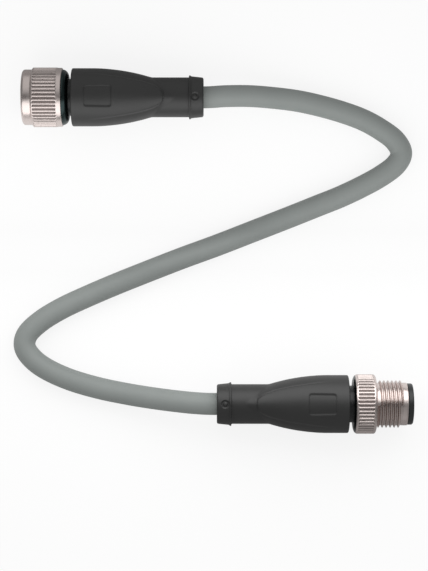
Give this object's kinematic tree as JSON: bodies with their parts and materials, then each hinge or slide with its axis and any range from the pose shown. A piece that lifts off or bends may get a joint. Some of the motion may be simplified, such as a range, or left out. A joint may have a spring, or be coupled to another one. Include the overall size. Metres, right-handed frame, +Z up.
{
  "type": "m12 connector cordset",
  "caption": "Round M12 cordset: knurled socket connector and threaded plug connector with moulded grips, joined by a bent grey cable.",
  "frame": {"origin": "on the table, midway between the two mating faces along X and midway between the two parallel connector axes", "axes": "+X points the way the plug's mating face looks, +Y from the plug to the socket connector, +Z up from the table"},
  "size_m": [0.1005, 0.0914, 0.0148],
  "materials": {
    "nickel": "bright nickel plating on brass",
    "grip": "fine matt moulded polyurethane, dark grey",
    "carrier": "satin black moulded plastic",
    "seal": "matt black seal rubber",
    "moulding": "hard black moulding, hidden",
    "gold": "gold-plated brass",
    "cable_jacket": "satin grey jacket",
    "core_brown": "brown core insulation",
    "core_white": "white core insulation",
    "core_blue": "blue core insulation",
    "core_black": "black core insulation"
  },
  "bodies": {
    "root": {"socket_grip": "grip", "socket_contact_carrier": "carrier", "socket_seal_ring": "seal", "socket_inner_moulding": "moulding", "socket_contact_1": "gold", "socket_contact_2": "gold", "socket_contact_3": "gold", "socket_contact_4": "gold", "socket_core_brown": "core_brown", "socket_core_white": "core_white", "socket_core_blue": "core_blue", "socket_core_black": "core_black", "plug_grip": "grip", "plug_contact_carrier": "carrier", "plug_inner_moulding": "moulding", "plug_pin_1": "gold", "plug_pin_2": "gold", "plug_pin_3": "gold", "plug_pin_4": "gold", "plug_core_brown": "core_brown", "plug_core_white": "core_white", "plug_core_blue": "core_blue", "plug_core_black": "core_black", "cable": "cable_jacket"},
    "coupling_nut": {"socket_coupling_nut": "nickel"},
    "coupling_screw": {"plug_coupling_screw": "nickel"}
  },
  "joints": [
    {"name": "nut_turn", "type": "hinge", "parent": "root", "child": "coupling_nut", "pos_m": [-0.0425, 0.0383, 0.0074], "axis": [-1, 0, 0], "continuous": true},
    {"name": "screw_turn", "type": "hinge", "parent": "root", "child": "coupling_screw", "pos_m": [0.036, -0.0383, 0.0074], "axis": [1, 0, 0], "continuous": true}
  ]
}
